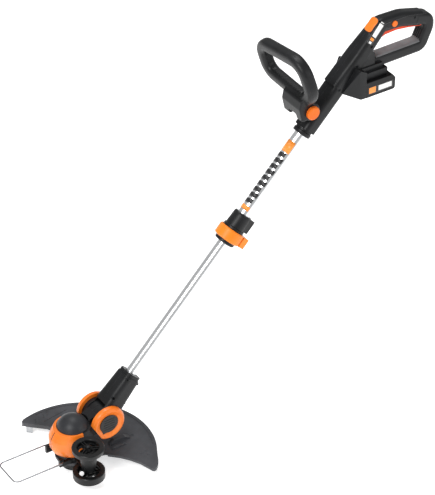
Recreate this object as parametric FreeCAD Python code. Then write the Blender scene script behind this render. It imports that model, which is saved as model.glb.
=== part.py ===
import FreeCAD
import Part
import math
import os

from FreeCAD import Placement, Rotation, Vector

# Cordless string trimmer that turns into a wheeled lawn edger.  Millimetres, +Z up.
# The origin is the centre of the spool cap's flat bottom, +X runs back to the operator,
# and +Y is the operator's right-hand side.

# ---- driving dimensions -------------------------------------------------------------
SHAFT_ANGLE = 46.25          # shaft above the horizontal in trimming position, degrees
PIVOT = Vector(68, 0, 100)   # tilt axis of the head, along Y
LOWER_TUBE_R = 12.5
UPPER_TUBE_R = 14.0
TUBE_WALL = 1.0
RUN_FIT = 0.05               # radial clearance where one piece runs in another
GAP = 0.4                    # gap between neighbours that move apart
SEAM = 0.15                  # half the gap between two casing halves
WALL = 2.6                   # casing wall

# stations along the shaft, measured from the tilt axis
LOWER_HOUSING_TOP = 112
LOWER_TUBE_START = 38
LOWER_TUBE_END = 560
COLLAR_START = 449
UPPER_TUBE_START = 484
UPPER_TUBE_END = 835
HOUSING_START = 738
HOUSING_STEP = 846
HOUSING_BEND = 1006

# head
MOTOR_R = 27
NECK_START = 30.4
DOME_R = 33.2
DOME_RISE = 22
DOME_TOP = 128
GUARD_R = 164
GUARD_CENTRE = Vector(12, -3, 0)
GUARD_TOP = 28
GUARD_WALL = 3
GUARD_BOTTOM = 15
WHEEL_AXIS = Vector(-9, -78, 0)
WHEEL_R = 34
WHEEL_WIDTH = 18
WHEEL_LOW = 24
WHEEL_HIGH = 86
AXLE_R = 3
WIRE_R = 1.7
WIRE_HINGE = Vector(-46, 0, 46)
WIRE_REACH = -160
WIRE_HALF = 36

GUARD_SCREWS = ((29.4, 17), (29.4, -17), (-29.4, 17), (-29.4, -17))

# tilt joint
EYE_R = 28
EYE_HALF = 15.5
CHEEK_IN = 16.1
CHEEK_OUT = 26
DISC_R = 38.5
DISC_OUT = 38.5
DISC_FLAT = 31.5
DISC_FLAT_ANGLE = 208
BUTTON_R = 21.5
TILT_PIN_R = 5

# handle
STEM_HALF = 22
GRIP_HALF = 15.5
BELLY_HALF = 20.5
LOOP_PIVOT = Vector(573, 0, 692)
LOOP_ANGLE = 103
LOOP_SECTION = 13.5
YOKE_HALF = 33
KNOB_R = 14.8
TRIGGER_HALF = 8
TRIGGER_PIVOT = Vector(862, 0, 806)
PACK_HALF = 38
PACK_BOTTOM = 682
PACK_TOP = 717
PACK_FRONT = 700
PACK_REAR = 781

X = Vector(1, 0, 0)
Y = Vector(0, 1, 0)
Z = Vector(0, 0, 1)


# ---- small helpers ------------------------------------------------------------------
def cylinder(radius, height, base=Vector(0, 0, 0), axis=Z):
    return Part.makeCylinder(radius, height, base, axis)


def tube(outer, inner, height, base=Vector(0, 0, 0), axis=Z):
    over = Vector(axis).normalize()
    bore = cylinder(inner, height + 2, base - over, axis)
    return cylinder(outer, height, base, axis).cut(bore)


def block(x_low, x_high, y_low, y_high, z_low, z_high):
    size = (x_high - x_low, y_high - y_low, z_high - z_low)
    return Part.makeBox(*size, Vector(x_low, y_low, z_low))


def rounded_wire(points, radius):
    """Closed wire through points in one plane, each corner an arc of the given radius."""
    edges = []
    count = len(points)
    ends = []
    for index in range(count):
        before, corner, after = points[index - 1], points[index], points[(index + 1) % count]
        to_before = (before - corner).normalize()
        to_after = (after - corner).normalize()
        angle = to_before.getAngle(to_after)
        reach = radius / math.tan(angle / 2)
        middle = corner + (to_before + to_after).normalize() * (radius / math.sin(angle / 2) - radius)
        ends.append((corner + to_before * reach, middle, corner + to_after * reach))
    for index in range(count):
        start, middle, end = ends[index]
        edges.append(Part.Arc(start, middle, end).toShape())
        following = ends[(index + 1) % count][0]
        if (following - end).Length > 1e-6:
            edges.append(Part.makeLine(end, following))
    return Part.Wire(Part.__sortEdges__(edges))


def bent_wire(points, bends):
    """Open wire of straight runs through points, with an arc of the given radius at each bend."""
    edges = []
    last = points[0]
    for index, bend in enumerate(bends, start=1):
        corner = points[index]
        back = (points[index - 1] - corner).normalize()
        on = (points[index + 1] - corner).normalize()
        angle = back.getAngle(on)
        reach = bend / math.tan(angle / 2)
        middle = corner + (back + on).normalize() * (bend / math.sin(angle / 2) - bend)
        edges.append(Part.makeLine(last, corner + back * reach))
        edges.append(Part.Arc(corner + back * reach, middle, corner + on * reach).toShape())
        last = corner + on * reach
    edges.append(Part.makeLine(last, points[-1]))
    return Part.Wire(edges)


def bar(points, bends, across, half_across, half_other, radius):
    """Bar of rounded-rectangle section swept along a bent wire in the plane square to across."""
    along = (points[1] - points[0]).normalize()
    other = across.cross(along)
    square = [(-half_across, -half_other), (half_across, -half_other),
              (half_across, half_other), (-half_across, half_other)]
    ring = rounded_wire([points[0] + across * a + other * b for a, b in square], radius)
    return bent_wire(points, bends).makePipeShell([ring], True, False)


def profile_xz(points, y_low, y_high, radius=2.0):
    """Plate of thickness y_low to y_high from an (x, z) outline with rounded corners."""
    wire = rounded_wire([Vector(x, y_low, z) for x, z in points], radius)
    return Part.Face(wire).extrude(Vector(0, y_high - y_low, 0))


def profile_xy(points, z_low, z_high, radius=2.0):
    wire = rounded_wire([Vector(x, y, z_low) for x, y in points], radius)
    return Part.Face(wire).extrude(Vector(0, 0, z_high - z_low))


def turned(points, axis=Z, base=Vector(0, 0, 0)):
    """Solid of revolution about Z from (radius, height) points, then stood on another axis."""
    corners = [Vector(r, 0, h) for r, h in points]
    corners.append(corners[0])
    solid = Part.Face(Part.makePolygon(corners)).revolve(Vector(0, 0, 0), Z, 360)
    solid.Placement = Placement(base, Rotation(Z, axis))
    return solid


def on_shaft(shape):
    """Stands a shape built about local Z on the shaft; local -X becomes the upper side."""
    placed = shape.copy()
    placed.Placement = Placement(PIVOT, Rotation(Y, 90 - SHAFT_ANGLE)).multiply(shape.Placement)
    return placed


def shaft_point(along, up, side=0):
    turn = Placement(PIVOT, Rotation(Y, 90 - SHAFT_ANGLE))
    return turn.multVec(Vector(-up, side, along))


def joined(shapes):
    result = shapes[0]
    for shape in shapes[1:]:
        result = result.fuse(shape)
    return result.removeSplitter()


def without(shape, tools):
    for tool in tools:
        shape = shape.cut(tool)
    return shape


def group(shapes):
    return Part.makeCompound(shapes)


def half(shape, side, reach=1500):
    """One side of a casing, cut at the middle plane: side -1 is the left, +1 the right."""
    low, high = (-reach, -SEAM) if side < 0 else (SEAM, reach)
    return shape.common(block(-reach, reach, low, high, -reach, reach))


def section(x_low, x_high, half_y, radius, height):
    """Rounded rectangle across the local Z axis, for lofted casings."""
    points = [(x_low, -half_y), (x_high, -half_y), (x_high, half_y), (x_low, half_y)]
    return rounded_wire([Vector(x, y, height) for x, y in points], radius)


def coil(radius, half_wire, pitch, height, base=Vector(0, 0, 0), axis=Z):
    """Compression spring of square wire."""
    path = Part.makeHelix(pitch, height, radius)
    corners = [(-1, -1), (1, -1), (1, 1), (-1, 1), (-1, -1)]
    ring = Part.makePolygon([Vector(radius + half_wire * a, 0, half_wire * b) for a, b in corners])
    spring = Part.Wire(path).makePipeShell([ring], True, True)
    spring.Placement = Placement(base, Rotation(Z, axis))
    return spring


def screw(head_point, direction, shank=16.0):
    """Pan-head screw: the head's outer face sits at head_point, the shank points in."""
    head = cylinder(2.9, 2.0, head_point, direction)
    recess = cylinder(1.1, 1.2, head_point - direction * 0.2, direction)
    body = cylinder(1.5, shank, head_point + direction * 2.0, direction)
    return head.cut(recess).fuse(body)


nodes = {}


# ---- spool and motor ----------------------------------------------------------------
def build_spool():
    cap_outer = [(0, 0), (24.5, 0), (27.5, 3), (29.5, 16), (0, 16)]
    cap_inner = [(0, 2.6), (22, 2.6), (25.2, 5), (27.3, 17), (0, 17)]
    cap = turned(cap_outer).cut(turned(cap_inner))
    grip = block(26.2, 31, -4, 4, 3.4, 8)
    grips = [grip.rotated(Vector(0, 0, 0), Z, turn) for turn in range(30, 390, 60)]
    nodes["spool_cap"] = without(cap, grips)

    rim = tube(30.5, 25.8, 7.6, Vector(0, 0, 16.2))
    lid = tube(30.5, 9.6, 2.0, Vector(0, 0, 21.8))
    eyelet_holes = [cylinder(2.6, 12, Vector(side * 22, 0, 19), X * side) for side in (-1, 1)]
    nodes["spool_housing"] = without(joined([rim, lid]), eyelet_holes)
    nodes["line_eyelets"] = group([tube(2.6, 1.6, 5.4, Vector(side * 26, 0, 19), X * side)
                                   for side in (-1, 1)])

    flanges = [tube(24.0, 8.0, 1.6, Vector(0, 0, level)) for level in (4.6, 13.0)]
    barrel = tube(11.0, 8.0, 8.6, Vector(0, 0, 5.2))
    nodes["spool"] = joined(flanges + [barrel])
    nodes["wound_line"] = tube(21.5, 11.0, 6.8, Vector(0, 0, 6.2))
    nodes["spool_spring"] = coil(6.4, 0.5, 2.6, 10.4, Vector(0, 0, 4.4))

    flange = cylinder(9.5, 8.0, Vector(0, 0, 16.4))
    neck = cylinder(7.0, 14.0, Vector(0, 0, 24.4))
    bore = cylinder(4.0, 23, Vector(0, 0, 16))
    nodes["drive_hub"] = joined([flange, neck]).cut(bore)


def build_motor():
    can = tube(MOTOR_R, MOTOR_R - 2, 46, Vector(0, 0, 50))
    ends = [tube(MOTOR_R, 4 + RUN_FIT, 2, Vector(0, 0, level)) for level in (48, 96)]
    nodes["motor_can"] = joined([can] + ends)
    spindle = cylinder(4, 92, Vector(0, 0, 16.4))
    armature = tube(22, 4, 34, Vector(0, 0, 56))
    nodes["motor_shaft"] = joined([spindle, armature])
    disc = tube(24, 4, 1.6, Vector(0, 0, 100))
    blade = block(6, 23, -0.8, 0.8, 101, 107)
    blades = [blade.rotated(Vector(0, 0, 0), Z, turn) for turn in range(0, 360, 45)]
    nodes["cooling_fan"] = joined([disc] + blades)
    nodes["motor_bearings"] = group([tube(8.5, 4, 4, Vector(0, 0, level)) for level in (43.9, 91.5)])


# ---- motor housing and neck ---------------------------------------------------------
def barrel_solid(inset):
    rings = [(45, 40, 35), (52, 47.5, 39), (65, 53, 41.5), (86, 53, 41.5), (96, 47.5, 39.5),
             (104, 42, 37.5)]
    wires = []
    for height, long_half, short_half in rings:
        level = height + inset if height == rings[0][0] else height
        ellipse = Part.Ellipse(Vector(0, 0, level), long_half - inset, short_half - inset)
        wires.append(Part.Wire(ellipse.toShape()))
    return Part.makeLoft(wires, True, True)


def build_head():
    barrel = barrel_solid(0).cut(barrel_solid(WALL))
    top_lid = barrel_solid(0).common(block(-80, 80, -80, 80, 101.4, 104))
    shell = barrel.fuse(top_lid)
    shell = shell.cut(cylinder(34.0, 10, Vector(0, 0, 100))).cut(cylinder(20.2, 10, Vector(0, 0, 42)))
    front = shell.common(block(-80, 4, -80, 80, 40, 120))
    vents = [block(-46, -30, side * 33 - 6, side * 33 + 6, 52.5, 55.5) for side in (-1, 1)]
    front = without(front, vents)
    nodes["motor_housing_left"] = half(front, -1)
    nodes["motor_housing_right"] = half(front, 1)

    rear = shell.common(block(4.4, NECK_START, -80, 80, 40, 120))
    eye = cylinder(EYE_R, 2 * EYE_HALF, Vector(68, -EYE_HALF, 100), Y)
    web_outline = [(12, 50), (58, 73.8), (50, 121.8), (12, 101)]
    web = profile_xz(web_outline, -EYE_HALF, EYE_HALF, 1.5)
    hollow = profile_xz([(10, 54), (40, 69), (37, 110), (10, 97)], -12.5, 12.5, 1.5)
    bulkhead = block(NECK_START - WALL, NECK_START, -40, 40, 46, 103).common(barrel_solid(0))
    neck = joined([rear, bulkhead, web, eye])
    window = block(26, 32, -11, 11, 62, 94)
    lead_way = cylinder(4.5, 90, Vector(20, 0, 92), Vector(1, 0, 0.18))
    neck = without(neck, [hollow, window, lead_way, cylinder(34.0, 40, Vector(0, 0, 100)),
                          cylinder(TILT_PIN_R + RUN_FIT, 40, Vector(68, -20, 100), Y)])
    disc_room = [cylinder(DISC_R + 1, 20, Vector(68, side * 25.5, 100), Y * side) for side in (-1, 1)]
    neck = without(neck, [cylinder(MOTOR_R + 0.5, 53.5, Vector(0, 0, 47.8))] + disc_room)
    nodes["neck_left"] = half(neck, -1)
    nodes["neck_right"] = half(neck, 1)

    dome_radius = (DOME_R ** 2 + DOME_RISE ** 2) / (2 * DOME_RISE)
    dome_centre = Vector(0, 0, DOME_TOP - dome_radius)
    ball = Part.makeSphere(dome_radius, dome_centre)
    inner_ball = Part.makeSphere(dome_radius - WALL, dome_centre)
    skirt = cylinder(DOME_R, 40, Vector(0, 0, 104.2))
    dome = ball.common(skirt)
    step = tube(33.7, 30.6, 5, Vector(0, 0, 101.2))
    nodes["dome_cap"] = joined([dome.cut(inner_ball), step])

    ring = tube(36, 20, 12, Vector(0, 0, 30))
    floor = tube(36, 8.5, 3.6, Vector(0, 0, 41.2)).fuse(tube(20, 8.5, 3.3, Vector(0, 0, 44.6)))
    lugs = []
    for side in (-1, 1):
        low = min(side * 24.5, side * 31)
        foot = block(-51, -20, low, low + 6.5, 33, 43).cut(cylinder(30, 30, Vector(0, 0, 25)))
        lugs += [foot, block(-51, -41.5, low, low + 6.5, 33, 51.5)]
    base = joined([ring, floor] + lugs)
    for side in (-1, 1):
        pivot_way = cylinder(WIRE_R + RUN_FIT, 9, Vector(WIRE_HINGE.x, side * 32, WIRE_HINGE.z), Y * -side)
        base = base.cut(pivot_way)
    base = base.cut(cylinder(28.5, 11.2, Vector(0, 0, 30)))
    base = without(base, [cylinder(1.5, 9, Vector(x, y, 29)) for x, y in GUARD_SCREWS])
    nodes["head_base"] = base.cut(barrel_solid(0).cut(cylinder(20.0, 20, Vector(0, 0, 40))))


def build_guard():
    start = math.radians(-32)
    finish = math.radians(106)
    near_edge = [(6, -36), (40, -36), (54, -41), (76, -63), (89, -81), (101, -103), (108, -126),
                 (110, -133), (114, -137.5), (120, -137), (129, -129), (137, -117), (144, -103)]
    far_edge = [(-40, 150), (-40, 144), (-29, 132), (-2, 106), (8, 80), (4, 48), (-26, 30), (-34, 0),
                (-26, -30)]

    def rim_point(angle):
        return GUARD_CENTRE + Vector(GUARD_R * math.cos(angle), GUARD_R * math.sin(angle), 0)

    rim = Part.Arc(rim_point(start), rim_point((start + finish) / 2), rim_point(finish)).toShape()
    front = [rim_point(finish)] + [Vector(x, y, 0) for x, y in far_edge + near_edge] + [rim_point(start)]
    outline = Part.Face(Part.Wire([rim] + Part.makePolygon(front).Edges))
    inner_outline = outline.makeOffset2D(-GUARD_WALL)

    plate = outline.translated(Z * (GUARD_TOP - GUARD_WALL)).extrude(Z * GUARD_WALL)
    skirt = outline.translated(Z * GUARD_BOTTOM).extrude(Z * (GUARD_TOP - GUARD_BOTTOM))
    hollow = inner_outline.translated(Z * (GUARD_BOTTOM - 1)).extrude(Z * (GUARD_TOP - GUARD_BOTTOM + 2))
    spool_room = cylinder(72, 30, Vector(0, 0, -5))
    inside_rim = cylinder(GUARD_R - 4, 60, GUARD_CENTRE - Z * 40)
    near_trim = block(-200, 111, -200, 0, 0, 22).fuse(block(-200, 200, -200, -100, 0, 21))
    far_trim = inside_rim.common(block(-200, 200, 0, 200, 0, 19))
    guard = joined([without(skirt, [hollow, spool_room, near_trim, far_trim]), plate])
    collar = tube(40, 36.2, 6, Vector(0, 0, 26)).common(block(-50, 50, -37.5, 50, 20, 40))
    rib = profile_xz([(76, 26), (76, 34), (86, 40), (112, 38), (126, 29), (126, 26)], -25, -15, 1.5)
    low_rib = profile_xz([(70, 26), (76, 32), (104, 31), (114, 26)], -38, -33, 1.5)
    dots = [cylinder(2.6, 0.8, Vector(x, y, GUARD_TOP)) for x, y in ((130, -77), (119, -80), (129, -90))]
    guard = joined([guard, collar, rib, low_rib] + dots)
    dimple = cylinder(4, 1.2, Vector(132, -20, GUARD_TOP - 1.2))
    holes = [cylinder(1.6, 20, Vector(x, y, 15)) for x, y in GUARD_SCREWS]
    guard = without(guard, [cylinder(26, 60, Vector(0, 0, -5)), dimple] + holes)
    nodes["guard"] = guard
    screws = [screw(Vector(x, y, GUARD_TOP - GUARD_WALL - 2), Z, 10) for x, y in GUARD_SCREWS]
    nodes["guard_screws"] = group(screws)

    top = GUARD_TOP - GUARD_WALL - 0.1
    cutter = profile_xz([(0, 0.5), (14, 0.5), (14, top), (0, top)], 0, 1.2, 1.0)
    cutter = cutter.fuse(block(1.5, 12.5, 0, 8, top - 1.2, top))
    cutter.rotate(Vector(0, 0, 0), Z, -47.5)
    cutter.translate(Vector(-34.3, 142.4, 0))
    nodes["line_cutter"] = cutter


def build_wire_guard():
    bend = 12
    inner = WIRE_HALF - 10
    plan = [(WIRE_HINGE.x, -inner), (WIRE_HINGE.x, -WIRE_HALF), (WIRE_REACH, -WIRE_HALF),
            (WIRE_REACH, WIRE_HALF), (WIRE_HINGE.x, WIRE_HALF), (WIRE_HINGE.x, inner)]
    corners = [Vector(x, y, WIRE_HINGE.z) for x, y in plan]
    path = bent_wire(corners, [4, bend, bend, 4])
    ring = Part.Wire(Part.makeCircle(WIRE_R, corners[0], Y))
    nodes["wire_guard"] = path.makePipeShell([ring], True, False)


# ---- edging wheels ------------------------------------------------------------------
def wheel(bottom, rim_points):
    hub = WHEEL_AXIS + Vector(0, 0, bottom)
    rim = turned(rim_points, Z, hub)
    centre = cylinder(8, 15, hub + Vector(0, 0, 1.5))
    web = cylinder(23.5, 3, hub + Vector(0, 0, 6))
    ribs = []
    for turn in range(90, 450, 120):
        for offset in (-2.6, 2.6):
            rib = block(5, 24, offset - 0.9, offset + 0.9, 2.5, 15)
            rib.rotate(Vector(0, 0, 0), Z, turn)
            rib.translate(hub)
            ribs.append(rib)
    windows = []
    for turn in range(150, 510, 120):
        window = block(10, 20, -9, 9, 4, 11).common(tube(20.5, 10.5, 9, Vector(0, 0, 3)))
        window.rotate(Vector(0, 0, 0), Z, turn)
        window.translate(hub)
        windows.append(window)
    solid = without(joined([rim, centre, web] + ribs), windows)
    return solid.cut(cylinder(AXLE_R + RUN_FIT, 30, hub - Vector(0, 0, 4)))


def build_wheels():
    plain = [(23, 0), (32.6, 0), (34, 1.4), (34, 16.6), (32.6, 18), (24.5, 18), (23, 16)]
    tapered = [(22, 0), (25, 0), (33, 7), (34, 9), (34, 16.6), (32.6, 18), (24, 18), (22.5, 16)]
    nodes["wheel_lower"] = wheel(WHEEL_LOW, plain)
    nodes["wheel_upper"] = wheel(WHEEL_HIGH, tapered)
    low_cap = WHEEL_AXIS + Vector(0, 0, WHEEL_LOW + 0.9)
    high_cap = WHEEL_AXIS + Vector(0, 0, WHEEL_HIGH + 17)
    pin = cylinder(AXLE_R, high_cap.z - low_cap.z, low_cap)
    nodes["wheel_axle"] = pin
    dome = [(AXLE_R, 0), (6.8, 0), (6.2, 2.2), (3.8, 3.6), (0, 4), (0, 2), (AXLE_R, 2)]
    top = turned(dome, Z, high_cap)
    bottom = cylinder(6.8, 1.2, low_cap - Vector(0, 0, 1.3))
    nodes["axle_caps"] = group([top, bottom])
    low = WHEEL_LOW + WHEEL_WIDTH + 0.6
    high = WHEEL_HIGH - 0.6
    bore = AXLE_R + RUN_FIT
    sleeve = turned([(bore, low), (14, low), (18.5, high - 8), (18.5, high), (bore, high)], Z, WHEEL_AXIS)
    arm = profile_xy([(-20, -72), (2, -72), (12, -26), (-16, -26)], 36, 44.4, 3)
    arm = arm.cut(cylinder(WHEEL_R + 1, low - 30, WHEEL_AXIS + Vector(0, 0, 30)))
    arm = arm.cut(barrel_solid(-0.3))
    arm = arm.cut(cylinder(36, 40, Vector(0, 0, 20)))
    arm = arm.cut(cylinder(10, 60, WHEEL_AXIS + Vector(0, 0, 20)))
    nodes["wheel_bracket"] = joined([sleeve, arm])


# ---- tilt joint and lower housing ---------------------------------------------------
def build_tilt_joint():
    sections = [section(-23, 23, 24, 13, 29), section(-23, 23, 24, 13, 60), section(-21, 21, 22.5, 13, 104)]
    body = Part.makeLoft(sections, True, True)
    rim = section(-19.5, 19.5, 21, 13, 104)
    lip = Part.Face(rim).extrude(Vector(0, 0, LOWER_HOUSING_TOP - 104))
    body = on_shaft(joined([body, lip]))
    fork = Part.makeLoft([section(-23, 23, CHEEK_OUT, 13, 0), section(-23, 23, CHEEK_OUT, 13, 38),
                          section(-23, 23, 24.2, 13, 56)], True, True)
    fork = on_shaft(fork.cut(block(-40, 40, -CHEEK_IN, CHEEK_IN, -1, 30)))
    cheeks = []
    for side in (-1, 1):
        base = Vector(68, side * CHEEK_IN, 100)
        cheeks.append(cylinder(30, CHEEK_OUT - CHEEK_IN, base, Y * side))
    outer = joined([body, fork] + cheeks)
    slot = cylinder(EYE_R + 1.2, 2 * CHEEK_IN, Vector(68, -CHEEK_IN, 100), Y)
    bore = on_shaft(cylinder(LOWER_TUBE_R, 90, Vector(0, 0, LOWER_TUBE_START)))
    relief = on_shaft(cylinder(17, 44, Vector(0, 0, 50)))
    lead_way = on_shaft(cylinder(5, 60))
    pin_way = cylinder(TILT_PIN_R, 80, Vector(68, -40, 100), Y)
    outer = without(outer, [slot, bore, relief, lead_way, pin_way])
    heads = []
    screws = []
    for along, up in ((50, 19), (50, -19), (99, 17.6), (99, -17.6)):
        point = shaft_point(along, up, -19.5)
        heads.append(cylinder(3.3, 12, point - Y * 10, Y))
        screws.append(screw(point, Y, 18))
        heads.append(cylinder(1.5, 22, point, Y))
    outer = without(outer, heads)
    nodes["lower_housing_left"] = half(outer, -1)
    nodes["lower_housing_right"] = half(outer, 1)
    nodes["lower_housing_screws"] = group(screws)
    nodes["tilt_pin"] = cylinder(TILT_PIN_R, 2 * CHEEK_OUT - 1, Vector(68, -CHEEK_OUT + 0.5, 100), Y)

    ring = [(BUTTON_R + GAP, CHEEK_OUT), (DISC_R, CHEEK_OUT), (DISC_R, 32.5), (36.5, 36.5), (33.5, DISC_OUT),
            (30, DISC_OUT), (26.5, 37), (BUTTON_R + GAP, 34.5)]
    for side, name in ((-1, "left"), (1, "right")):
        disc = turned(ring)
        disc.Placement = Placement(Vector(68, 0, 100), Rotation(Z, Y * side))
        flat = Placement(Vector(68, 0, 100), Rotation(Y, -DISC_FLAT_ANGLE))
        trim = block(DISC_FLAT, DISC_FLAT + 20, -60, 60, -60, 60)
        trim.Placement = flat
        corner = profile_xz([(49, 91), (74, 80), (52.5, 78)], *sorted((side * 20, side * 45)), 1.2)
        disc = without(disc, [trim, corner])
        nodes["tilt_disc_" + name] = disc
        low = min(side * 28.8, side * 36)
        plug = cylinder(BUTTON_R, 7.2, Vector(68, low, 100), Y)
        tip = profile_xz([(50, 90.4), (73, 80.4), (53, 78.8)], low, low + 7.2, 1.2)
        button = joined([plug, tip])
        pocket = cylinder(10, 5, Vector(68, side * 28.8, 100), Y * side)
        waves = []
        for rise in (-12, -6, 0, 6, 12):
            groove = cylinder(1.6, 26, Vector(55, side * 36.6, 100 + rise), X)
            waves.append(groove)
        nodes["tilt_button_" + name] = without(button, [pocket] + waves)
    springs = [coil(7.5, 0.5, 1.7, 3.4, Vector(68, side * 27.1, 100), Y * side) for side in (-1, 1)]
    nodes["tilt_button_springs"] = group(springs)


# ---- telescoping shaft --------------------------------------------------------------
def build_shaft():
    lower_inner = LOWER_TUBE_R - TUBE_WALL
    upper_inner = UPPER_TUBE_R - TUBE_WALL
    length = LOWER_TUBE_END - LOWER_TUBE_START
    nodes["lower_tube"] = on_shaft(tube(LOWER_TUBE_R, lower_inner, length, Vector(0, 0, LOWER_TUBE_START)))
    length = UPPER_TUBE_END - UPPER_TUBE_START
    nodes["upper_tube"] = on_shaft(tube(UPPER_TUBE_R, upper_inner, length, Vector(0, 0, UPPER_TUBE_START)))
    head = tube(upper_inner - RUN_FIT, 6, 12, Vector(0, 0, LOWER_TUBE_END + 0.3))
    spigot = tube(lower_inner - RUN_FIT, 6, 20, Vector(0, 0, LOWER_TUBE_END - 18))
    nodes["shaft_bush"] = on_shaft(joined([head, spigot]))

    hold = LOWER_TUBE_R + RUN_FIT
    collet = turned([(hold, COLLAR_START), (20.5, COLLAR_START), (22.8, 451), (22.8, 456.6), (19, 456.6),
                     (19, 482.8), (hold, 482.8)])
    slit = block(11, 20, -0.8, 0.8, 466, 490)
    slits = [slit.rotated(Vector(0, 0, 0), Z, turn) for turn in range(0, 360, 90)]
    nodes["clamp_collet"] = on_shaft(without(collet, slits))
    ring = [(19.4, 457), (27, 457), (29.3, 459), (29.3, 480), (27, 482.4), (19.4, 482.4)]
    ring = turned(ring)
    lug = block(18, 33, -26, -6, 458.5, 481)
    ring = joined([ring, lug.cut(cylinder(24, 40, Vector(0, 0, 450)))])
    notch = block(22, 40, -21, -9, 463, 475)
    nodes["lock_ring"] = on_shaft(ring.cut(notch))
    sleeve = turned([(UPPER_TUBE_R, 483), (24, 483), (24, 487.5), (21.6, 489), (20.6, 518), (19.2, 521),
                     (UPPER_TUBE_R, 521)])
    boss = block(4, 23.5, -19, -2, 489, 519).cut(cylinder(UPPER_TUBE_R, 80, Vector(0, 0, 460)))
    nodes["collar_sleeve"] = on_shaft(joined([sleeve, boss]))
    nodes["shaft_lead"] = on_shaft(cylinder(3.2, 150, Vector(0, 0, 620)))


# ---- rear handle --------------------------------------------------------------------
def stem_loft(stations, inset):
    """Loft along the shaft through (station, low, high, half width) sections."""
    wires = []
    for along, low, high, half_y in stations:
        wires.append(section(low + inset, high - inset, half_y - inset, 11, along))
    return Part.makeLoft(wires, True, True)


def stem_solid(inset):
    front = stem_loft([(HOUSING_START, -17.2, 17.5, STEM_HALF),
                       (HOUSING_STEP - 1, -17.2, 17.5, STEM_HALF)], inset)
    rear = stem_loft([(HOUSING_STEP - 1, -21.2, 17.5, STEM_HALF), (925, -18.6, 17.5, STEM_HALF),
                      (HOUSING_BEND, -15.5, 16, 17.5)], inset)
    return on_shaft(joined([front, rear]))


GRIP_PATH = [Vector(716, 0, 777), Vector(757, 0, 823.5), Vector(812, 0, 822.5), Vector(862, 0, 809.5)]
REAR_PATH = [Vector(850, 0, 812.5), Vector(882, 0, 804), Vector(883, 0, 784), Vector(866, 0, 744.5),
             Vector(735, 0, 742.5)]


def handle_solid(inset):
    grip = bar(GRIP_PATH, [26, 60], Y, GRIP_HALF - inset, 16.8 - inset, 10 - inset)
    rear = bar(REAR_PATH, [14, 30, 14], Y, GRIP_HALF + 0.5 - inset, 13.5 - inset, 7.5 - inset)
    belly_outline = [(652, 702), (700, 702), (741, 727), (738, 757), (739, 772), (722, 788), (690, 770)]
    belly = profile_xz(belly_outline, -BELLY_HALF + inset, BELLY_HALF - inset, 3)
    return joined([stem_solid(inset), grip, rear, belly])


def cradle_solid():
    foot_outline = [(655, 703), (694, 683), (706, 683), (706, 744), (690, 752)]
    foot = profile_xz(foot_outline, -PACK_HALF - 0.5, PACK_HALF + 0.5, 2)
    edge_outline = [(640, 24), (655, 24), (690, 38.8), (700, 60), (640, 60)]
    for side in (-1, 1):
        foot = foot.cut(profile_xy([(x, side * y) for x, y in edge_outline], 650, 770, 0.8))
    upper = block(700, 766, -29, 29, 717.6, 734)
    tier = block(700, 758, -23, 23, 734, 745)
    return joined([foot, upper, tier])


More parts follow.
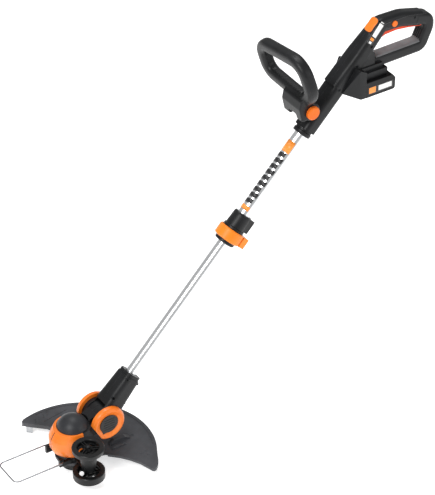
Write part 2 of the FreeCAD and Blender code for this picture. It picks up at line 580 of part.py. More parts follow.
def build_handle():
    outer = handle_solid(0).fuse(cradle_solid())
    inner = handle_solid(WALL)
    pocket = block(696, 720, -33, 33, 687, PACK_TOP + 0.4)
    rail_room = block(696, 800, -22.4, 22.4, 721.6, 728.8).fuse(block(696, 800, -16.4, 16.4, 716, 723))
    tube_way = on_shaft(cylinder(UPPER_TUBE_R, 160, Vector(0, 0, HOUSING_START - 20)))
    end_ribs = [on_shaft(block(-30, 30, -30, 30, level, level + 4)) for level in (742, 780, 822)]
    inner = without(inner, end_ribs)
    pack_room = block(706.2, 800, -60, 60, 670, PACK_TOP + 0.4)
    shell = without(outer, [inner, rail_room, tube_way, pack_room, pocket])

    trigger_slot = profile_xz([(746, 776), (746, 812), (868, 812), (868, 786), (800, 790)],
                              -TRIGGER_HALF - GAP, TRIGGER_HALF + GAP, 1.5)
    feed_slot = on_shaft(block(-30, -8, -12.4, 12.4, 975.6, 1008.4))
    lock_hole = cylinder(6.5 + GAP, 60, Vector(790, -30, 822.5), Y)
    shell = without(shell, [trigger_slot, feed_slot, lock_hole])
    points = [shaft_point(779, 25), shaft_point(845, 5), shaft_point(905, 2), shaft_point(955, -1),
              Vector(842, 0, 821), Vector(882, 0, 778), Vector(800, 0, 743)]
    depth = [11, STEM_HALF, STEM_HALF, 19.5, GRIP_HALF, GRIP_HALF - 1, GRIP_HALF - 1]
    holes = []
    posts = []
    screws = []
    for point, reach in zip(points, depth):
        posts.append(cylinder(4.4, 2 * reach - 1, Vector(point.x, -reach + 0.5, point.z), Y))
        holes.append(cylinder(3.3, 4, Vector(point.x, -reach - 1, point.z), Y))
        screws.append(screw(Vector(point.x, -reach + 1, point.z), Y, 2 * reach - 9))
        holes.append(cylinder(1.5, 2 * reach - 6, Vector(point.x, -reach, point.z), Y))
    shell = joined([shell, aux_lug()] + posts)
    shell = without(shell, holes + [tube_way])
    nodes["handle_shell_left"] = half(shell, -1)
    nodes["handle_shell_right"] = half(shell, 1)
    nodes["handle_screws"] = group(screws)

    ring = [(UPPER_TUBE_R, 725), (19, 725), (20.2, 727), (20.2, 733), (18.4, 734), (18.4, 737.6),
            (UPPER_TUBE_R, 737.6)]
    nodes["stem_collar"] = on_shaft(turned(ring))

    feed = on_shaft(block(-19.5, -12, -12, 12, 976, 1008))
    waists = [on_shaft(cylinder(24, 30, Vector(-30, side * 33.5, 992), X)) for side in (-1, 1)]
    nodes["line_feed_button"] = without(feed, waists)
    nodes["feed_switch"] = on_shaft(block(-8.6, -2, -7, 7, 984, 1001))

    nodes["lock_off_button"] = cylinder(6.5, 2 * GRIP_HALF + 4, Vector(790, -GRIP_HALF - 2, 822.5), Y)

    lever_outline = [(749, 786.5), (757, 793), (772, 798.6), (800, 800.6), (830, 797), (866, 790.5),
                     (866, 806), (858, 811), (800, 811.4), (762, 810), (749, 797)]
    lever = profile_xz(lever_outline, -TRIGGER_HALF, TRIGGER_HALF, 1.0)
    nodes["trigger"] = lever.cut(cylinder(2 + RUN_FIT, 40, TRIGGER_PIVOT - Y * 20, Y))
    nodes["trigger_pin"] = cylinder(2, 24, TRIGGER_PIVOT - Y * 12, Y)
    nodes["power_switch"] = block(806, 834, -7, 7, 819.6, 829)


def aux_lug():
    base = shaft_point(762, 14)
    end = shaft_point(796, 14)
    tongue = cylinder(13, 22, LOOP_PIVOT - Y * 11, Y)
    corners = [(base.x, base.z), (end.x, end.z), (LOOP_PIVOT.x + 9, LOOP_PIVOT.z + 8),
               (LOOP_PIVOT.x - 9, LOOP_PIVOT.z - 8)]
    web = profile_xz(corners, -11, 11, 1)
    return joined([tongue, web]).cut(cylinder(4, 30, LOOP_PIVOT - Y * 15, Y))


# ---- battery ------------------------------------------------------------------------
def build_battery():
    outline = [(PACK_FRONT, PACK_BOTTOM), (PACK_REAR - 3, PACK_BOTTOM), (PACK_REAR, PACK_BOTTOM + 4),
               (PACK_REAR, PACK_TOP - 8), (PACK_REAR - 6, PACK_TOP), (PACK_FRONT, PACK_TOP)]
    case = profile_xz(outline, -PACK_HALF, PACK_HALF, 1.5)
    nose_room = [block(690, 706.4, low, high, 670, 730) for low, high in ((-60, -32.6), (32.6, 60))]
    nose_room.append(block(690, 706.4, -60, 60, 670, 687.4))
    case = without(case, nose_room)
    rail = joined([block(PACK_FRONT, 764, -16, 16, PACK_TOP - 1, 723),
                   block(PACK_FRONT, 764, -22, 22, 722, 728.4)])
    room = block(PACK_FRONT + 9.4, PACK_REAR - 8, -PACK_HALF + WALL, PACK_HALF - WALL,
                 PACK_BOTTOM + 5, PACK_TOP - 3)
    latch_room = block(PACK_REAR - 7, PACK_REAR + 5, -14, 14, PACK_BOTTOM + 10, PACK_TOP - 9)
    whole = without(case.fuse(rail), [room, latch_room])
    split = PACK_BOTTOM + 14
    nodes["battery_case_top"] = whole.common(block(690, 790, -50, 50, split + 0.15, 740))
    nodes["battery_case_bottom"] = whole.common(block(690, 790, -50, 50, 670, split - 0.15))
    cells = []
    for index in range(5):
        cells.append(cylinder(6.6, 60, Vector(711, -28 + 14 * index, PACK_BOTTOM + 15), X))
    nodes["battery_cells"] = group(cells)
    nodes["battery_latch"] = block(PACK_REAR - 4.5, PACK_REAR + 1.2, -13.6, 13.6,
                                   PACK_BOTTOM + 10.4, PACK_TOP - 9.4)


# ---- loop handle --------------------------------------------------------------------
def build_loop():
    tilt = Placement(LOOP_PIVOT, Rotation(Y, 90 - LOOP_ANGLE))
    plan = [(-20, 25), (-52, 56), (-35, 128), (121, 104), (107, 36), (-12, 28.5)]
    corners = [Vector(0, y, z) for y, z in plan]
    hoop = bar(corners, [40, 34, 30, 28], X, LOOP_SECTION, LOOP_SECTION, 10)
    block_outline = [(-27, -13), (6, -13), (6, 29), (-3, 39), (-19, 38), (-27, 20)]
    yoke = joined([cylinder(20, 2 * YOKE_HALF, Vector(0, -YOKE_HALF, 0), Y),
                   profile_xz(block_outline, -YOKE_HALF, YOKE_HALF, 5)])
    lug_room = cylinder(13.6, 23, Vector(0, -11.5, 0), Y)
    lug_sweep = block(-28, 30, -11.5, 11.5, -30, 0).fuse(block(0, 30, -11.5, 11.5, -30, 13))
    hoop = joined([hoop, without(yoke, [lug_room, lug_sweep])])
    knob_room = [cylinder(16.5, 30, Vector(0, side * YOKE_HALF, 0), Y * side) for side in (-1, 1)]
    bolt_way = cylinder(4 + RUN_FIT, 80, Vector(0, -40, 0), Y)
    hoop = without(hoop, [bolt_way] + knob_room)
    hoop.Placement = tilt
    nodes["loop_handle"] = hoop
    nodes["loop_pivot_bolt"] = cylinder(4, 2 * YOKE_HALF + 1, LOOP_PIVOT - Y * (YOKE_HALF + 0.5), Y)
    low = YOKE_HALF + 0.5
    knob = [(0, low), (KNOB_R, low), (KNOB_R, low + 6), (KNOB_R - 2.5, low + 8.4), (0, low + 9)]
    for side, name in ((-1, "left"), (1, "right")):
        body = turned(knob)
        flutes = []
        for turn in range(0, 360, 20):
            flute = cylinder(1.3, 12, Vector(KNOB_R + 0.7, 0, low - 1)).rotated(Vector(0, 0, 0), Z, turn)
            flutes.append(flute)
        body = without(body, flutes)
        body.Placement = Placement(LOOP_PIVOT, Rotation(Z, Y * side))
        nodes["loop_knob_" + name] = body


build_spool()
build_motor()
build_head()
build_guard()
build_wire_guard()
build_wheels()
build_tilt_joint()
build_shaft()
build_handle()
build_battery()
build_loop()

os.makedirs("parts", exist_ok=True)
for name, shape in nodes.items():
    shape.exportStep("parts/" + name + ".step")
    box = shape.BoundBox
    size = (box.XLength, box.YLength, box.ZLength)
    print(name, len(shape.Solids), "solids", "valid" if shape.isValid() else "NOT VALID",
          "volume", round(shape.Volume / 1000, 2), "cm3", "size", [round(value, 1) for value in size])
print(len(nodes), "nodes")
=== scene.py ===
# %% [markdown]
# # Cordless edger and string trimmer
# The machine's parts come in from CAD, already in place and already named. What is left for this
# script is how they look: what each one is made of, and the small things that CAD leaves out, such as
# printed marks, rubber pads, seams and the soft shape of the loop handle.

import math

import bmesh
import bpy
from mathutils import Matrix, Vector
from mathutils.bvhtree import BVHTree


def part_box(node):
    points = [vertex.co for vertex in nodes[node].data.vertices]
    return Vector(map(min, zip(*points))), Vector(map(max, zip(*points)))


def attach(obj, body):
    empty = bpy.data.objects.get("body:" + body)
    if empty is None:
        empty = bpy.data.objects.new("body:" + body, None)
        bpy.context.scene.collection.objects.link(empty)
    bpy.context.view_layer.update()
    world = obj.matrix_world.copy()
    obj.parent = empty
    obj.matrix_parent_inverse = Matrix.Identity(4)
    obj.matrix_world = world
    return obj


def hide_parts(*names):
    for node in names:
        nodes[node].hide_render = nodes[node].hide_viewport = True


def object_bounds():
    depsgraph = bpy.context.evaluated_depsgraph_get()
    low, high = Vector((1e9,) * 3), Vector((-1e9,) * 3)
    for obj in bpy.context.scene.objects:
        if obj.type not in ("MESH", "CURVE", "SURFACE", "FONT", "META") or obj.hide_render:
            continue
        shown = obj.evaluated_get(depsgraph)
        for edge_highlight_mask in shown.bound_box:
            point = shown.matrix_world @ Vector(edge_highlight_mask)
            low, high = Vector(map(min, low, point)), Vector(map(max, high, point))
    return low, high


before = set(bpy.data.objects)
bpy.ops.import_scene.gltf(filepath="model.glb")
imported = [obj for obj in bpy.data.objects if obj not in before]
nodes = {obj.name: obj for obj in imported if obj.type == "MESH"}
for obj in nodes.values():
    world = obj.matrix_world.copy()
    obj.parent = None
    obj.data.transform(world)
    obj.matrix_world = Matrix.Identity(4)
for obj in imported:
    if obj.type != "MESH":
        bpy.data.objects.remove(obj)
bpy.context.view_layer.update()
MM = 0.001
print("parts loaded:", len(nodes))

# %% [markdown]
# Most of this machine lies along one slanted line, the shaft. A matrix that stands on the tilt joint
# with its Z up the shaft lets every mark and button there be built upright, in plain millimetres.

# %% The shaft's own axes
tilt_axis = (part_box("tilt_pin")[0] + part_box("tilt_pin")[1]) / 2
shaft_angle = math.radians(46.25)
on_shaft = Matrix.Translation(tilt_axis) @ Matrix.Rotation(math.pi / 2 - shaft_angle, 4, "Y")
print("tilt axis at", [round(value, 4) for value in tilt_axis])

# %% [markdown]
# Colours are easiest to read as the hex values a painter would mix, but the renderer works in linear
# light, so one function turns the first into the second. Another adds a node with its settings and
# links, and every material below is built with it.

# %% Colour and node helpers


def linear(hex_colour):
    channels = [int(hex_colour[at:at + 2], 16) / 255 for at in (1, 3, 5)]
    return tuple(c / 12.92 if c <= 0.04045 else ((c + 0.055) / 1.055) ** 2.4 for c in channels) + (1.0,)


def add(tree, kind, settings=None, links=None):
    """Adds a node. Settings name its properties or inputs, and links name inputs and what feeds them.
    An input whose name is shared is given by its place in the list instead."""
    node = tree.nodes.new(kind)
    for key, value in (settings or {}).items():
        if isinstance(key, int) or key in node.inputs:
            node.inputs[key].default_value = value
        else:
            setattr(node, key, value)
    for key, source in (links or {}).items():
        tree.links.new(source, node.inputs[key])
    return node


def new_material(name):
    material = bpy.data.materials.new(name)
    material.use_nodes = True
    material.node_tree.nodes.clear()
    return material, material.node_tree


COLOUR_A, COLOUR_B = 6, 7


def mottled(tree, pattern, shade, colour, rough, low=0.35, high=0.65):
    """Two close colours and two roughnesses, both following one pattern."""
    share = add(tree, "ShaderNodeMapRange", {"From Min": low, "From Max": high}, {"Value": pattern})
    skin = add(tree, "ShaderNodeMix",
               {"data_type": "RGBA", COLOUR_A: linear(shade), COLOUR_B: linear(colour)},
               {0: share.outputs["Result"]})
    shine = add(tree, "ShaderNodeMapRange", {"To Min": rough[0], "To Max": rough[1]}, {"Value": pattern})
    return skin.outputs[2], shine.outputs["Result"]


print("helpers ready")

# %% [markdown]
# Moulded ABS comes out of a spark-eroded steel tool, so its skin has a fine even grain about half a
# millimetre across, broken by a slow change in sheen where hands and shears have rubbed it. Its edges
# are never sharp: the tool's corners are rounded, and they catch a thin bright line of light. A rounded
# normal from the Bevel node lets them catch that light, and comparing that normal with the true one
# finds the edges, where a paler colour is mixed in as a painted highlight.

# %% Moulded plastic


def moulded_plastic(name, colour, shade, edge, rough, gloss=0.25, depth=0.06):
    material, tree = new_material(name)
    place = add(tree, "ShaderNodeTexCoord").outputs["Object"]
    handling = add(tree, "ShaderNodeTexNoise", {"Scale": 1 / (45 * MM), "Detail": 4.0}, {"Vector": place})
    grain = add(tree, "ShaderNodeTexNoise", {"Scale": 1 / (0.6 * MM), "Detail": 2.0}, {"Vector": place})
    body, shine = mottled(tree, handling.outputs["Fac"], shade, colour, rough)

    rounded = add(tree, "ShaderNodeBevel", {"samples": 4, "Radius": 0.9 * MM})
    true = add(tree, "ShaderNodeNewGeometry")
    agree = add(tree, "ShaderNodeVectorMath", {"operation": "DOT_PRODUCT"},
                {0: rounded.outputs["Normal"], 1: true.outputs["Normal"]})
    edge_highlight_mask = add(tree, "ShaderNodeMapRange", {"From Min": 0.97, "From Max": 0.80, "To Max": 0.4},
                 {"Value": agree.outputs["Value"]})
    # Painted highlight: the paler edge colour is mixed in where the rounded normal turns from the true one.
    painted_edge_highlight = add(tree, "ShaderNodeMix", {"data_type": "RGBA", COLOUR_B: linear(edge)},
               {0: edge_highlight_mask.outputs["Result"], COLOUR_A: body})

    bump = add(tree, "ShaderNodeBump", {"Strength": depth, "Distance": 0.1 * MM},
               {"Height": grain.outputs["Fac"], "Normal": rounded.outputs["Normal"]})
    skin = add(tree, "ShaderNodeBsdfPrincipled", {"IOR": 1.53, "Specular IOR Level": gloss},
               {"Base Color": painted_edge_highlight.outputs[2], "Roughness": shine, "Normal": bump.outputs["Normal"]})
    add(tree, "ShaderNodeOutputMaterial", links={"Surface": skin.outputs["BSDF"]})
    return material


# The third colour of each plastic is its painted edge highlight.
charcoal = moulded_plastic("moulded_charcoal_abs", "#1a1b1d", "#121314", "#3c3d40", rough=(0.34, 0.48))
cap_abs = moulded_plastic("moulded_cap_abs", "#37383b", "#2b2c2f", "#4b4d50", rough=(0.38, 0.5))
guard_abs = moulded_plastic("moulded_guard_abs", "#4a4b4f", "#3a3b3e", "#74767a", rough=(0.3, 0.44))
wheel_black = moulded_plastic("moulded_wheel_black", "#151617", "#0e0f10", "#36373a", rough=(0.3, 0.44))
pack_black = moulded_plastic("moulded_pack_black", "#111213", "#0b0c0d", "#2e3033", rough=(0.34, 0.46))
orange = moulded_plastic("moulded_orange_abs", "#f68121", "#ee7414", "#ffa352", rough=(0.3, 0.42), gloss=0.5,
                         depth=0.03)
ring_orange = moulded_plastic("moulded_ring_orange", "#f78c2a", "#ef801d", "#ffac60", rough=(0.32, 0.44))
knob_orange = moulded_plastic("moulded_knob_orange", "#f2741c", "#e86812", "#ff9a52", rough=(0.35, 0.45))
trigger_red = moulded_plastic("moulded_trigger_red", "#e84a1e", "#d83c12", "#f87a50", rough=(0.35, 0.45))
nylon = moulded_plastic("moulded_natural_nylon", "#dedbd0", "#cdc9bc", "#efece4", rough=(0.4, 0.5))
print("plastics:", charcoal.name, guard_abs.name, orange.name)

# %% [markdown]
# The tilt buttons, the pad on the lower bar and the battery latch are a soft rubber over the hard
# shell. Rubber scatters light more than ABS does, so it is rougher, with a pebbled skin whose
# bumps are a millimetre apart, and a little sheen where the light grazes it.

# %% Soft rubber


def soft_rubber(name, colour, shade, pebble_mm=1.1):
    material, tree = new_material(name)
    place = add(tree, "ShaderNodeTexCoord").outputs["Object"]
    pebbles = add(tree, "ShaderNodeTexVoronoi", {"Scale": 1 / (pebble_mm * MM)}, {"Vector": place})
    cloud = add(tree, "ShaderNodeTexNoise", {"Scale": 1 / (25 * MM), "Detail": 3.0}, {"Vector": place})
    body, shine = mottled(tree, cloud.outputs["Fac"], shade, colour, (0.62, 0.78))
    bump = add(tree, "ShaderNodeBump", {"Strength": 0.25, "Distance": 0.15 * MM},
               {"Height": pebbles.outputs["Distance"]})
    skin = add(tree, "ShaderNodeBsdfPrincipled", {"IOR": 1.52, "Sheen Weight": 0.2, "Sheen Roughness": 0.5},
               {"Base Color": body, "Roughness": shine, "Normal": bump.outputs["Normal"]})
    add(tree, "ShaderNodeOutputMaterial", links={"Surface": skin.outputs["BSDF"]})
    return material


black_rubber = soft_rubber("soft_black_rubber", "#1d1d1e", "#141415")
grey_rubber = soft_rubber("soft_grey_rubber", "#77797b", "#66686a", pebble_mm=1.6)
print("rubbers:", black_rubber.name, grey_rubber.name)

# %% [markdown]
# The tubes are drawn aluminium, bright anodised. Drawing pulls the metal through a ring, so it leaves
# very fine lines along the tube and none round it. The pattern is turned to lie along the shaft and
# squeezed hard in that direction, and it moves the roughness and the bump only a little.

# %% Metals
LINE_MM = 0.8        # how far apart the drawing lines are
LINE_SQUEEZE = 0.02  # the pattern's scale along the tube


def drawn_metal(name, colour, shade, rough, turn=0.0):
    material, tree = new_material(name)
    place = add(tree, "ShaderNodeTexCoord").outputs["Object"]
    lying = add(tree, "ShaderNodeMapping", {"Rotation": (0.0, turn, 0.0)}, {"Vector": place})
    pulled = add(tree, "ShaderNodeMapping", {"Scale": (1.0, 1.0, LINE_SQUEEZE)},
                 {"Vector": lying.outputs["Vector"]})
    lines = add(tree, "ShaderNodeTexNoise", {"Scale": 1 / (LINE_MM * MM), "Detail": 3.0},
                {"Vector": pulled.outputs["Vector"]})
    body, shine = mottled(tree, lines.outputs["Fac"], shade, colour, rough)
    bump = add(tree, "ShaderNodeBump", {"Strength": 0.05, "Distance": 0.05 * MM},
               {"Height": lines.outputs["Fac"]})
    skin = add(tree, "ShaderNodeBsdfPrincipled", {"Metallic": 1.0},
               {"Base Color": body, "Roughness": shine, "Normal": bump.outputs["Normal"]})
    add(tree, "ShaderNodeOutputMaterial", links={"Surface": skin.outputs["BSDF"]})
    return material


aluminium = drawn_metal("drawn_bright_aluminium", "#f6f7f8", "#e9ebed", (0.2, 0.3),
                        turn=-(math.pi / 2 - shaft_angle))
steel_wire = drawn_metal("bright_drawn_steel_wire", "#a9abae", "#8c8e91", (0.25, 0.38))
zinc_steel = drawn_metal("zinc_plated_steel", "#a3a6a9", "#8b8e92", (0.3, 0.45))
black_zinc = drawn_metal("black_zinc_screws", "#3a3b3d", "#2a2b2c", (0.35, 0.5))
blade_steel = drawn_metal("stamped_blade_steel", "#b9bbbd", "#9b9ea1", (0.22, 0.35))
bronze = drawn_metal("turned_bronze", "#b98c4e", "#9a7038", (0.3, 0.4))
print("metals:", aluminium.name, steel_wire.name, blade_steel.name)

# %% [markdown]
# Printed marks are a thin layer of pad-printing ink. The ink lies a tenth of a millimetre proud, a
# little glossier than the skin under it, and is never quite solid: fine pinholes show in it.

# %% Printing ink


def printing_ink(name, colour, shade):
    material, tree = new_material(name)
    place = add(tree, "ShaderNodeTexCoord").outputs["Object"]
    pinholes = add(tree, "ShaderNodeTexNoise", {"Scale": 1 / (1.5 * MM), "Detail": 5.0}, {"Vector": place})
    body, shine = mottled(tree, pinholes.outputs["Fac"], shade, colour, (0.28, 0.4), 0.25, 0.5)
    skin = add(tree, "ShaderNodeBsdfPrincipled", {"IOR": 1.5}, {"Base Color": body, "Roughness": shine})
    add(tree, "ShaderNodeOutputMaterial", links={"Surface": skin.outputs["BSDF"]})
    return material


# The black ink also serves as painted shade: the housing's recess is a flat patch of it.
black_print_and_painted_shade = printing_ink("printed_black_and_painted_shade", "#1d1d1f", "#2c2c2e")
orange_ink = printing_ink("printed_orange_ink", "#fb9a3e", "#f58a2a")
white_ink = printing_ink("printed_white_ink", "#f4f4f2", "#dcdcd8")
print("inks:", black_print_and_painted_shade.name, orange_ink.name, white_ink.name)

# %% [markdown]
# Every CAD part now gets its finish by name. CAD meshes arrive as loose triangles, so each one is
# welded and smoothed by modifiers, with its edges kept where two faces meet at more than 32 degrees.

# %% Finish the CAD parts
finishes = {
    "spool_cap": charcoal, "spool_housing": charcoal, "line_eyelets": zinc_steel, "spool": nylon,
    "wound_line": knob_orange, "spool_spring": zinc_steel, "drive_hub": nylon, "motor_can": zinc_steel,
    "motor_shaft": zinc_steel, "cooling_fan": nylon, "motor_bearings": bronze, "motor_housing_left": orange,
    "motor_housing_right": orange, "guard": guard_abs, "guard_screws": black_zinc, "line_cutter": blade_steel,
    "wire_guard": steel_wire, "wheel_axle": zinc_steel, "wheel_lower": wheel_black,
    "wheel_upper": wheel_black, "wheel_bracket": wheel_black, "axle_caps": wheel_black,
    "lower_housing_screws": black_zinc, "tilt_pin": zinc_steel,
    "tilt_disc_left": orange, "tilt_disc_right": orange,
    "tilt_button_left": black_rubber, "tilt_button_right": black_rubber, "tilt_button_springs": zinc_steel,
    "lower_tube": aluminium, "upper_tube": aluminium, "shaft_bush": nylon, "lock_ring": ring_orange,
    "shaft_lead": black_rubber, "handle_screws": black_zinc, "line_feed_button": orange,
    "feed_switch": black_rubber, "lock_off_button": knob_orange, "trigger": trigger_red,
    "trigger_pin": zinc_steel, "power_switch": black_rubber, "battery_cells": nylon,
    "battery_latch": black_rubber, "loop_pivot_bolt": zinc_steel, "loop_knob_left": knob_orange,
    "loop_knob_right": knob_orange, "dome_cap": cap_abs, "battery_case_top": pack_black,
    "battery_case_bottom": pack_black,
}


def smooth_shaded(piece, angle=32):
    weld = piece.modifiers.new("weld", "WELD")
    weld.merge_threshold = 0.01 * MM
    split = piece.modifiers.new("edges", "EDGE_SPLIT")
    split.split_angle = math.radians(angle)
    piece.data.polygons.foreach_set("use_smooth", [True] * len(piece.data.polygons))


for name, part in nodes.items():
    part.data.materials.clear()
    part.data.materials.append(finishes.get(name, charcoal))
    smooth_shaded(part)
print("finished", len(nodes), "parts,", len(nodes) - len(finishes), "of them in charcoal")

# %% [markdown]
# New pieces all end the same way: the working mesh is turned into an object that sits at the origin,
# given its material, and set riding on the body that carries it.

# %% Piece helper


def piece_from(bm, name, body, material, matrix=None):
    if matrix is not None:
        bmesh.ops.transform(bm, matrix=matrix, verts=bm.verts)
    bmesh.ops.recalc_face_normals(bm, faces=bm.faces)
    mesh = bpy.data.meshes.new(name)
    bm.to_mesh(mesh)
    bm.free()
    mesh.materials.append(material)
    mesh.polygons.foreach_set("use_smooth", [True] * len(mesh.polygons))
    piece = bpy.data.objects.new(name, mesh)
    bpy.context.scene.collection.objects.link(piece)
    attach(piece, body)
    return piece


print("piece helper ready")

# %% [markdown]
# A mark on a tube is a patch of a slightly larger cylinder. A short edge laid along the tube and spun
# round it by the patch's own angle makes exactly that, and solidify gives the ink its thickness.
# Angle zero faces the upper side of the shaft.

# %% Marks on the upper tube
TUBE_SKIN = 14.1   # just outside the upper tube, mm
SPIN_STEPS = 16
BAR_COUNT = 9
FIRST_BAR, BAR_PITCH, BAR_WIDTH, BAR_SLANT = 543, 14.6, 10.5, 5.0


def tube_mark(bm, start, end, low, high, radius, slant=0.0):
    """Adds a curved patch to bm. Start and end are stations up the shaft in mm, low and high are degrees."""
    middle = Matrix.Rotation(math.radians(180 + low), 4, "Z")
    ends = [bm.verts.new(middle @ Vector((radius * MM, 0, at * MM))) for at in (start, end)]
    edge = bm.edges.new(ends)
    bmesh.ops.spin(bm, geom=[edge] + ends, cent=(0, 0, 0), axis=(0, 0, 1),
                   angle=math.radians(high - low), steps=SPIN_STEPS, dvec=(0, 0, slant * MM / SPIN_STEPS))


def tube_print(name, patches, material):
    bm = bmesh.new()
    for patch in patches:
        tube_mark(bm, *patch)
    bmesh.ops.recalc_face_normals(bm, faces=bm.faces)
    bmesh.ops.solidify(bm, geom=bm.faces[:], thickness=0.06 * MM)
    return piece_from(bm, name, "handle", material, on_shaft)


tube_print("tube_print_orange_upper", [(676, 703, -62, 62, TUBE_SKIN)], orange_ink)
tube_print("tube_print_orange_lower", [(530, 540, -62, 62, TUBE_SKIN)], orange_ink)
bars = []
for index in range(BAR_COUNT):
    start = FIRST_BAR + index * BAR_PITCH
    tall = 58 if index % 2 else 46
    bars.append((start, start + BAR_WIDTH, -tall, tall, TUBE_SKIN, BAR_SLANT))
tube_print("tube_print_black_bars", bars, black_print_and_painted_shade)
print("tube marks:", len(bars), "bars")

# %% [markdown]
# A mark on a curved moulding is laid on it like a decal. A flat grid stands in front of the surface,
# each of its points is sent along one direction until it meets the part, and the sheet is then
# thickened. Where the grid stands, and which way it is sent, is all that changes from mark to mark.

# %% Laying thin pieces on a part


def surface_of(*names):
    bm = bmesh.new()
    for name in names:
        bm.from_mesh(nodes[name].data)
    tree = BVHTree.FromBMesh(bm)
    bm.free()
    return tree


def laid_on(name, surface, place, direction, body, material, thick, cells=(24, 8), rim=0.0):
    """place(u, v) gives where a point of the sheet starts, with u and v from -1 to 1. Thick is in mm."""
    bm = bmesh.new()
    bmesh.ops.create_grid(bm, x_segments=cells[0], y_segments=cells[1], size=1.0)
    lost = []
    for vert in bm.verts:
        start = place(vert.co.x, vert.co.y)
        edge = max(abs(vert.co.x), abs(vert.co.y))
        hit = surface.ray_cast(start, direction)[0]
        if hit is None:
            lost.append(vert)
            continue
        sink = rim * MM if edge > 0.99 else 0.0
        vert.co = hit - direction * (thick * MM - sink)
    bmesh.ops.delete(bm, geom=lost, context="VERTS")
    skin = bmesh.ops.extrude_face_region(bm, geom=bm.faces[:])
    backs = [item for item in skin["geom"] if isinstance(item, bmesh.types.BMVert)]
    bmesh.ops.translate(bm, vec=direction * thick * 0.9 * MM, verts=backs)
    return piece_from(bm, name, body, material)


handle_skin = surface_of("handle_shell_left", "handle_shell_right")
battery_skin = surface_of("battery_case_top", "battery_case_bottom")
NEAR = Vector((0, 1, 0))
DOWN = Vector((0, 0, -1))


def stem_side(along_low, along_high, up_low, up_high):
    """Places a sheet beside the handle's stem, by station up the shaft and height above its axis."""
    def place(u, v):
        along = along_low + (along_high - along_low) * (u + 1) / 2
        up = up_low + (up_high - up_low) * (v + 1) / 2
        return on_shaft @ Vector((-up * MM, -60 * MM, along * MM))
    return place


laid_on("stem_mark_black", handle_skin, stem_side(956, 1012, 2, 15), NEAR, "handle", black_print_and_painted_shade,
        thick=0.12)
laid_on("stem_mark_white", handle_skin, stem_side(974, 1009, 4, 13), NEAR, "handle", white_ink,
        thick=0.24)
laid_on("stem_mark_orange", handle_skin, stem_side(965, 971, 5, 13), NEAR, "handle", orange_ink,
        thick=0.24, cells=(8, 8))
laid_on("stem_mark_dot", handle_skin, stem_side(958, 963, 6, 12), NEAR, "handle", white_ink,
        thick=0.24, cells=(8, 8))


def pack_side(x_low, x_high, z_low, z_high):
    def place(u, v):
        x = x_low + (x_high - x_low) * (u + 1) / 2
        z = z_low + (z_high - z_low) * (v + 1) / 2
        return Vector((x, -100, z)) * MM
    return place


laid_on("pack_mark_black", battery_skin, pack_side(712, 776, 688, 706), NEAR, "battery", black_print_and_painted_shade,
        thick=0.1)
laid_on("pack_mark_orange", battery_skin, pack_side(714, 731, 690, 704), NEAR, "battery", orange_ink,
        thick=0.2)
laid_on("pack_mark_white", battery_skin, pack_side(738, 772, 691, 703), NEAR, "battery", white_ink,
        thick=0.2)
print("marks laid on the stem and the pack")

# %% [markdown]
# The lower bar of the grip wears a grey rubber pad along its flat top, a seam runs along the arched
# bar above it, and the upright between them has raised ribs on the inside. All are laid on the shell
# in the same way, the pad and the ribs thicker.

# %% Grip pad, seam and ribs


def bar_top(u, v):
    return Vector((803 + 56 * u, 13.6 * v, 775)) * MM


def grip_line(height, width):
    """A band that follows the grip's arched bar at a height above its middle."""
    def place(u, v):
        x = 808 + 66 * u
        crown = 822.5 - 13 * max(0.0, (x - 820) / 60) ** 1.3 - 14 * max(0.0, (775 - x) / 33) ** 1.6
        return Vector((x, -60, crown + height + width * v)) * MM
    return place


laid_on("bar_pad", handle_skin, bar_top, DOWN, "handle", grey_rubber, thick=1.0, rim=0.7,
        cells=(28, 9))
laid_on("grip_seam_left", handle_skin, grip_line(7.5, 0.6), NEAR, "handle", black_print_and_painted_shade,
        thick=0.15, cells=(48, 2))


def upright_rib(offset):
    def place(u, v):
        return Vector((820, offset + 1.1 * v, 771 + 11 * u)) * MM
    return place


for index, offset in enumerate((-8, -2.7, 2.7, 8)):
    laid_on(f"upright_rib_{index}", handle_skin, upright_rib(offset), Vector((1, 0, 0)), "handle", charcoal,
            thick=0.8, cells=(16, 3))
print("pad, seam and ribs laid")

# %% [markdown]
# The line-feed button is an hourglass of orange plastic in a black rubber surround. A circle is
# stretched, pinched at its waist, raised, and its rim is rounded over with a bevel.

# %% Line-feed button
FEED_STATION = 992   # how far up the shaft the button's middle is, mm
PINCH = 0.24         # how much the waist loses of the width
SQUARENESS = 0.62    # 1 is an oval, and less fills its corners out


def hourglass(name, length, width, bottom, top, material, crown=0.8):
    bm = bmesh.new()
    bmesh.ops.create_circle(bm, cap_ends=True, segments=72, radius=1.0)
    for vert in bm.verts:
        long_way, cross_way = vert.co.x, vert.co.y
        squared = abs(cross_way) ** SQUARENESS * math.copysign(1, cross_way)
        waist = 1 - PINCH * (1 - long_way ** 2) ** 2
        vert.co = Vector((0, squared * width / 2 * waist, long_way * length / 2)) * MM
    faces = bmesh.ops.extrude_face_region(bm, geom=bm.faces[:])
    upper = [item for item in faces["geom"] if isinstance(item, bmesh.types.BMVert)]
    bmesh.ops.translate(bm, vec=(-(top - bottom) * MM, 0, 0), verts=upper)
    rim = [edge for edge in bm.edges if all(vert in upper for vert in edge.verts)]
    bmesh.ops.bevel(bm, geom=rim, offset=crown * MM, segments=4, profile=0.5, affect="EDGES", material=-1)
    bmesh.ops.translate(bm, vec=(-bottom * MM, 0, FEED_STATION * MM), verts=bm.verts)
    return piece_from(bm, name, "feed_button", material, on_shaft)


feed_button = hourglass("feed_button_pad", 33, 28, 15.6, 19.2, orange, 1.8)
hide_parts("line_feed_button")
hourglass("feed_button_skirt", 35, 30.5, 15.4, 17.2, black_rubber)
print("button pad and skirt:", len(feed_button.data.polygons), "faces")

# %% [markdown]
# The loop handle is one thick moulding whose legs flow into the yoke at its foot. CAD built it from
# plain solids that meet at hard corners. A voxel remesh of a copy turns it into one even skin, and a
# smooth pass melts those corners into fillets a few millimetres wide.

# %% Loop handle


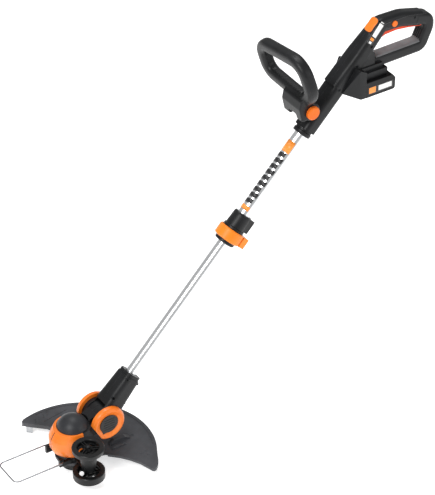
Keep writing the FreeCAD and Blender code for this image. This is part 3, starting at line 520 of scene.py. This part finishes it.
def melted_copy(source, name, body, material, voxel_mm, passes):
    bm = bmesh.new()
    bm.from_mesh(nodes[source].data)
    bmesh.ops.remove_doubles(bm, verts=bm.verts, dist=0.01 * MM)
    piece = piece_from(bm, name, body, material)
    remesh = piece.modifiers.new("skin", "REMESH")
    remesh.mode = "VOXEL"
    remesh.voxel_size = voxel_mm * MM
    remesh.use_smooth_shade = True
    soften = piece.modifiers.new("soften", "SMOOTH")
    soften.factor = 0.5
    soften.iterations = passes
    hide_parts(source)
    return piece


melted_copy("loop_handle", "loop_handle_skin", "loop", charcoal, 1.6, 7)
print("loop handle skin made")

# %% [markdown]
# The motor housing's two halves meet in a seam down the front, drawn as a thin dark strip laid on
# the shell, and a small recess low on the near side is drawn as a flat black patch of painted shade.
# The guard's top carries four short ribs, a straight bead, and a long bead that follows its rim.

# %% Motor housing seam and guard marks
ABOVE_GUARD = 60   # marks on the guard are sent down from this height, mm
GUARD_CENTRE = (12, -3)
GUARD_BEAD_R = 157
housing_skin = surface_of("motor_housing_left", "motor_housing_right")
guard_skin = surface_of("guard")


def housing_seam(u, v):
    return Vector((-90, 0.9 * v, 75 + 28 * u)) * MM


laid_on("housing_seam", housing_skin, housing_seam, Vector((1, 0, 0)), "head", black_print_and_painted_shade,
        thick=0.15, cells=(32, 3))


# Painted shade: the recess is not cut into the housing, and its shadow is this flat black patch.
def recess_painted_shade(u, v):
    return Vector((-14 + 5 * u, -100, 52 + 1.6 * v)) * MM


laid_on("housing_recess_painted_shade", housing_skin, recess_painted_shade, NEAR, "head", black_print_and_painted_shade,
        thick=0.2, cells=(8, 4))


def guard_mark(x, y, turn, half_length, half_width=0.9):
    def place(u, v):
        a = math.radians(turn)
        along, across = half_length * u, half_width * v
        return Vector((x + along * math.cos(a) - across * math.sin(a),
                       y + along * math.sin(a) + across * math.cos(a), ABOVE_GUARD)) * MM
    return place


for index in range(4):
    rib = guard_mark(-14 + index * 11, 137 + index * 2.5, 62, 7)
    laid_on(f"guard_rib_mark_{index}", guard_skin, rib, DOWN, "head", guard_abs,
            thick=0.7, cells=(6, 2))
laid_on("guard_edge_bead", guard_skin, guard_mark(30, 128, 8, 30, 0.8), DOWN, "head", guard_abs,
        thick=0.7, cells=(12, 2))


def rim_bead(u, v):
    turn = math.radians(36 + 60 * u)
    reach = GUARD_BEAD_R + 0.9 * v
    x = GUARD_CENTRE[0] + reach * math.cos(turn)
    y = GUARD_CENTRE[1] + reach * math.sin(turn)
    return Vector((x, y, ABOVE_GUARD)) * MM


laid_on("guard_rim_bead", guard_skin, rim_bead, DOWN, "head", guard_abs, thick=0.8,
        cells=(96, 3))
print("housing and guard marks laid")

# %% [markdown]
# The studio: a pale floor that the spool just touches, a bright even surround, one broad key light
# from the left, another overhead and a weak fill, so the dark plastic shows its shape by soft
# reflections.

# %% Stage, light and camera
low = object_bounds()[0]
bm = bmesh.new()
bmesh.ops.create_grid(bm, x_segments=1, y_segments=1, size=12.0)
floor_mesh = bpy.data.meshes.new("floor")
bm.to_mesh(floor_mesh)
bm.free()
floor = bpy.data.objects.new("floor", floor_mesh)
floor.location = (0, 0, low.z - 0.0005)
bpy.context.scene.collection.objects.link(floor)
paper, tree = new_material("white_paper_floor")
sheet = add(tree, "ShaderNodeBsdfPrincipled", {"Base Color": linear("#fafafa"), "Roughness": 0.9,
                                               "Emission Color": linear("#ffffff"), "Emission Strength": 0.6})
add(tree, "ShaderNodeOutputMaterial", links={"Surface": sheet.outputs["BSDF"]})
floor_mesh.materials.append(paper)

world = bpy.data.worlds.new("studio")
world.use_nodes = True
world.node_tree.nodes["Background"].inputs["Color"].default_value = linear("#ffffff")
world.node_tree.nodes["Background"].inputs["Strength"].default_value = 0.45
bpy.context.scene.world = world


def area_light(name, place, aim, size, watts):
    data = bpy.data.lights.new(name, "AREA")
    data.size = size
    data.energy = watts
    light = bpy.data.objects.new(name, data)
    light.location = place
    light.rotation_mode = "QUATERNION"
    light.rotation_quaternion = (Vector(aim) - Vector(place)).to_track_quat("-Z", "Y")
    bpy.context.scene.collection.objects.link(light)


area_light("key", (-2.2, -1.2, 3.0), (0.3, 0, 0.4), 1.3, 78)
area_light("fill", (1.8, -2.6, 1.8), (0.4, 0, 0.4), 1.6, 14)
area_light("top", (0.6, 0.8, 3.2), (0.4, 0, 0.4), 1.2, 34)

camera_data = bpy.data.cameras.new("camera")
camera_data.sensor_width = 36.0
camera_data.lens = 174.545
camera = bpy.data.objects.new("camera", camera_data)
right = Vector((0.8339, -0.5519, 0.0))
back = Vector((-0.4493, -0.6789, 0.5807)).normalized()
right = (right - back * right.dot(back)).normalized()
up = back.cross(right)
turned = Matrix((right, up, back)).transposed().to_4x4()
camera.matrix_world = Matrix.Translation(Vector((-1.8792, -3.3883, 3.3140))) @ turned
bpy.context.scene.collection.objects.link(camera)
bpy.context.scene.camera = camera
bpy.context.scene.view_settings.view_transform = "Standard"
print("stage set, floor at", round(floor.location.z, 4))
